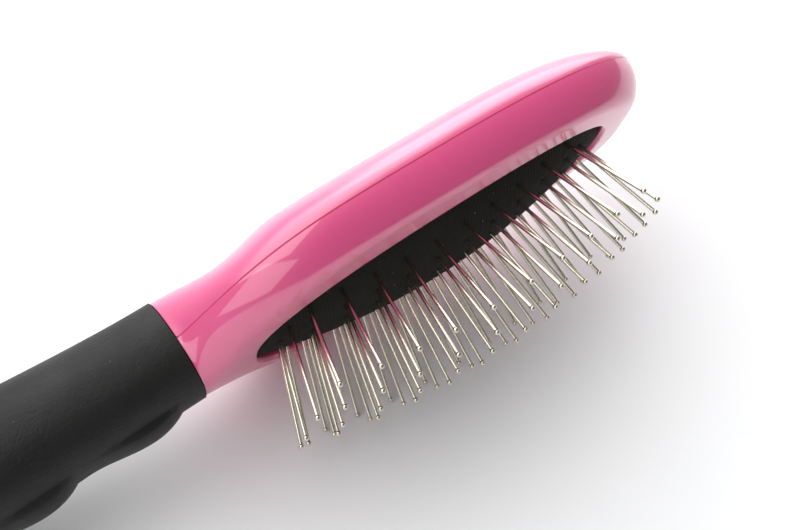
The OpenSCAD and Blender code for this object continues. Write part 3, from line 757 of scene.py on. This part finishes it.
def cushion_grid(shape):
    """Closed rings from the crown's middle out to the edge, down to the flange, round it and back
    under the sheet; near a pin the crown sinks by a bell of the distance."""
    a = np.linspace(0, 360, CROWN_STEPS + 1)[:-1][None, :]
    ca, sa = power(cos_d(a), RIM_N), power(sin_d(a), RIM_N)
    r = np.linspace(0, 1, CROWN_RINGS)[:, None] ** CROWN_SPREAD
    x = PAD_X + (PAD_A - CLEAR) * r * ca
    y = (PAD_B - CLEAR) * r * sa
    z = np.maximum(pad_z(x, y), RIM_Z - TUCK - TUCK_MORE * smooth((r - TUCK_FROM) / TUCK_RUN))
    for pin_x, pin_y in pin_places()[1][:, :2]:
        away = (x - pin_x) ** 2 + (y - pin_y) ** 2
        z = z - shape.dimple * np.exp(-away / shape.dimple_r ** 2)
    top = np.stack([x, y, z], -1)

    def ring(e, z):
        """The opening's oval grown by e, at one height."""
        return np.stack(np.broadcast_arrays(PAD_X + (PAD_A + e) * ca, (PAD_B + e) * sa, z), -1)

    low = LIP_Z - FLANGE_T
    r = np.linspace(1, 0, UNDER_RINGS)[:, None]
    x = PAD_X + (PAD_A - CLEAR - PAD_T) * r * ca
    y = (PAD_B - CLEAR - PAD_T) * r * sa
    under = np.stack([x, y, np.maximum(pad_z(x, y, PAD_T) - UNDER_DROP, low + UNDER_RISE)], -1)
    return np.concatenate([top, ring(-CLEAR, LIP_Z), ring(FLANGE_W, LIP_Z), ring(FLANGE_W, low),
                           ring(-CLEAR - PAD_T, low), under], 0)


def grip_grid():
    """Closed rings along the grip: a superellipse that widens by an eased step, a butt closed by a
    cap, and the round bore for the spigot. The pin side swells in finger bumps: along a pitch each
    rises by a quarter sine and runs out by a squared cosine, and round the grip it keeps its height
    over an arc with the sides of an ellipse, past which little of it is left."""
    s = GRIP_LEN * (1 - (1 - np.arange(GRIP_RINGS) / GRIP_RINGS) ** BUTT_CROWD)[:, None]
    a = np.linspace(0, 360, GRIP_STEPS + 1)[:-1][None, :]
    butt = cap((s - GRIP_LEN + BUTT_LEN) / BUTT_LEN, BUTT_N, 1 / BUTT_N)
    q = (s - BUMP_START) / BUMP_PITCH
    f = q - np.floor(q)
    rise = np.sin(np.minimum(f / BUMP_RISE, 1) ** BUMP_EARLY * math.pi / 2)
    fall = np.cos(np.clip((f - BUMP_RISE) / (BUMP_END - BUMP_RISE), 0, 1) * math.pi / 2) ** 2
    pad = np.sqrt(np.maximum(1 - ((a - 90) / BUMP_ARC) ** 2, 0)) ** 0.5
    broad = BUMP_ROUND + (1 - BUMP_ROUND) * pad
    swell = np.where((q < 0) | (q >= BUMP_COUNT), 0, BUMP_H * rise * fall) * broad
    ease = smooth(s / GRIP_FLARE)
    half = (HALF_NECK + GRIP_PROUD + (GRIP_W / 2 - HALF_NECK) * ease) * butt
    back = (NECK_BACK + GRIP_PROUD + (GRIP_BACK - NECK_BACK) * ease) * butt
    front = (NECK_FRONT + GRIP_PROUD + (GRIP_FRONT - NECK_FRONT) * ease + swell) * butt
    x = -GRIP_GAP - s * (GRIP_LEN - GRIP_GAP) / GRIP_LEN
    skin = np.stack(np.broadcast_arrays(
        x, half * power(cos_d(a), GRIP_N),
        np.where(sin_d(a) > 0, front, back) * power(sin_d(a), GRIP_N)), -1)
    pole = np.broadcast_to([-GRIP_LEN, 0.0, 0.0], (1, GRIP_STEPS, 3))

    def bore(x, r):
        """A circle of radius r at x."""
        return np.stack(np.broadcast_arrays(x, r * cos_d(a), r * sin_d(a)), -1)

    r, deep = TANG_R + CLEAR, -TANG_LEN - CLEAR
    return np.concatenate([pole, skin[::-1], bore(-GRIP_GAP, r), bore(deep, r), bore(deep, 0.0)], 0)


# operators
class BRUSH_OT_stage(bpy.types.Operator):
    """Builds the camera, lamps, surroundings and floor"""

    bl_idname = "brush.stage"
    bl_label = "Stage"

    def execute(self, context):
        scene, looks = context.scene, context.scene.brush_looks
        scene.view_settings.view_transform = "Standard"
        self.camera(scene)
        powers = {"Key": looks.key_power, "Side": looks.side_power, "Fill": looks.fill_power}
        for name, (at, width, height) in LAMPS.items():
            self.lamp(scene, name, at, width, height, powers[name])
        self.surroundings(scene, looks)
        self.floor(scene, looks)
        return {"FINISHED"}

    def camera(self, scene):
        """Camera at the photograph's viewing angle."""
        camera = bpy.data.objects.new("Camera", bpy.data.cameras.new("Camera"))
        camera.data.lens, camera.data.sensor_width = LENS_MM, SENSOR_MM
        camera.data.clip_start, camera.data.clip_end = CLIP_START, CLIP_END
        camera.location = CAMERA_AT
        camera.rotation_euler = [math.radians(angle) for angle in CAMERA_TURN]
        scene.collection.objects.link(camera)
        scene.camera = camera

    def lamp(self, scene, name, at, width, height, power):
        """Soft rectangular lamp that faces the brush."""
        data = bpy.data.lights.new(name, "AREA")
        data.shape, data.size, data.size_y, data.energy = "RECTANGLE", width, height, power
        lamp = bpy.data.objects.new(name, data)
        back = (Vector(at) - Vector(LAMPS_AIM)).normalized()
        lamp.matrix_world = Matrix.Translation(at) @ back.to_track_quat("Z", "Y").to_matrix().to_4x4()
        scene.collection.objects.link(lamp)

    def surroundings(self, scene, looks):
        """Grey room, bright low behind the brush and dim overhead and before it."""
        world = bpy.data.worlds.new("Surroundings")
        world.use_nodes = True
        tree = world.node_tree
        way = add(tree, "ShaderNodeTexCoord").outputs["Generated"]
        toward = add(tree, "ShaderNodeVectorMath", {"operation": "DOT_PRODUCT"},
                     {0: way, 1: ROOM_BRIGHT}).outputs["Value"]
        level = ramp(tree, toward, FADE_LOW, FADE_HIGH, looks.world_low, looks.world_high)
        link(tree, level, tree.nodes["Background"].inputs["Strength"])
        tree.nodes["Background"].inputs["Color"].default_value = (1, 1, 1, 1)
        scene.world = world

    def floor(self, scene, looks):
        """Square pale sheet under the brush."""
        h = FLOOR_HALF
        mesh = bpy.data.meshes.new("Floor")
        mesh.from_pydata([(-h, -h, 0), (h, -h, 0), (h, h, 0), (-h, h, 0)], [], [(0, 1, 2, 3)])
        mesh.materials.append(floor_finish(looks))
        floor = bpy.data.objects.new("Floor", mesh)
        scene.collection.objects.link(floor)


class BRUSH_OT_shells(bpy.types.Operator):
    """Builds the two pink shells of the head"""

    bl_idname = "brush.shells"
    bl_label = "Shells"

    def execute(self, context):
        looks, shape = context.scene.brush_looks, context.scene.brush_shape
        front_pink = pink_finish(looks, "Pink moulded gloss", looks.front_haze)
        back_pink = pink_finish(looks, "Pink satin gloss", looks.back_haze)
        rings, root = back_shell_grid(shape)
        back = surface("shell_back", rings, wrap_v=True, extra=root)
        front = surface("shell_front", front_shell_grid(), wrap_u=True, wrap_v=True)
        dress(back, back_pink, "back_shell")
        dress(front, front_pink, "front_shell")
        return {"FINISHED"}


class BRUSH_OT_cushion(bpy.types.Operator):
    """Builds the crowned rubber cushion"""

    bl_idname = "brush.cushion"
    bl_label = "Cushion"

    def execute(self, context):
        looks, shape = context.scene.brush_looks, context.scene.brush_shape
        pad = surface("cushion_sheet", cushion_grid(shape), wrap_v=True)
        dress(pad, cushion_finish(looks), "cushion_pad")
        return {"FINISHED"}


class BRUSH_OT_grip(bpy.types.Operator):
    """Builds the rubber grip"""

    bl_idname = "brush.grip"
    bl_label = "Grip"

    def execute(self, context):
        sleeve = surface("grip_sleeve", grip_grid(), wrap_v=True)
        dress(sleeve, grip_finish(context.scene.brush_looks), "grip")
        return {"FINISHED"}


class BRUSH_OT_pins(bpy.types.Operator):
    """Builds the crosswise rows of ball-ended pins"""

    bl_idname = "brush.pins"
    bl_label = "Pins"

    def execute(self, context):
        nickel = steel_finish("Pin nickel", context.scene.brush_looks.nickel, rough=0.14)
        row, bases, ways = pin_places()
        for k in range(PIN_COLS):
            pins = np.array([pin_grid(b, w) for b, w in zip(bases[row == k], ways[row == k])])
            count, nu, nv = pins.shape[:3]
            quads = grid_quads(nu, nv, wrap_v=True)
            quads = np.vstack([quads + n * nu * nv for n in range(count)])
            name = f"pin_row_{k + 1:02d}"
            wires = solid(f"{name}_wires", pins.reshape(-1, 3), quads)
            dress(wires, nickel, name)
        return {"FINISHED"}


class BRUSH_OT_inside(bpy.types.Operator):
    """Gives the hidden solids their finishes"""

    bl_idname = "brush.inside"
    bl_label = "Inside"

    def execute(self, context):
        finishes = {
            "foam_core": plain_finish("Grey foam", (0.25, 0.25, 0.26), rough=0.95, grain=0.9),
            "pad_frame": plain_finish("Black tray plastic", (0.05, 0.05, 0.05), rough=0.5, grain=1.5),
            "frame_screws": steel_finish("Zinc screw", (0.6, 0.6, 0.6), rough=0.3),
        }
        for node, material in finishes.items():
            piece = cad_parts[node]
            piece.data.materials.clear()
            piece.data.materials.append(material)
        return {"FINISHED"}


class BRUSH_PT_panel(bpy.types.Panel):
    """Lists the brush's pieces, sizes and finishes"""

    bl_idname = "BRUSH_PT_panel"
    bl_label = "Grooming Brush"
    bl_space_type = "VIEW_3D"
    bl_region_type = "UI"
    bl_category = "Brush"

    def draw(self, context):
        for operator in STEPS:
            self.layout.operator(operator.bl_idname)
        for group in (context.scene.brush_shape, context.scene.brush_looks):
            for key in group.__annotations__:
                self.layout.prop(group, key)


STEPS = (BRUSH_OT_stage, BRUSH_OT_shells, BRUSH_OT_cushion, BRUSH_OT_grip, BRUSH_OT_pins,
         BRUSH_OT_inside)
CLASSES = (BrushShape, BrushLooks, *STEPS, BRUSH_PT_panel)


def register():
    """Registers the classes and hangs both property groups on the scene."""
    for cls in CLASSES:
        bpy.utils.register_class(cls)
    bpy.types.Scene.brush_shape = bpy.props.PointerProperty(type=BrushShape)
    bpy.types.Scene.brush_looks = bpy.props.PointerProperty(type=BrushLooks)


def unregister():
    """Takes the property groups and the classes away again."""
    del bpy.types.Scene.brush_looks
    del bpy.types.Scene.brush_shape
    for cls in reversed(CLASSES):
        bpy.utils.unregister_class(cls)


def main():
    """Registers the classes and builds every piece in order."""
    register()
    for step in STEPS:
        area, name = step.bl_idname.split(".")
        getattr(getattr(bpy.ops, area), name)()


if __name__ == "__main__":
    main()
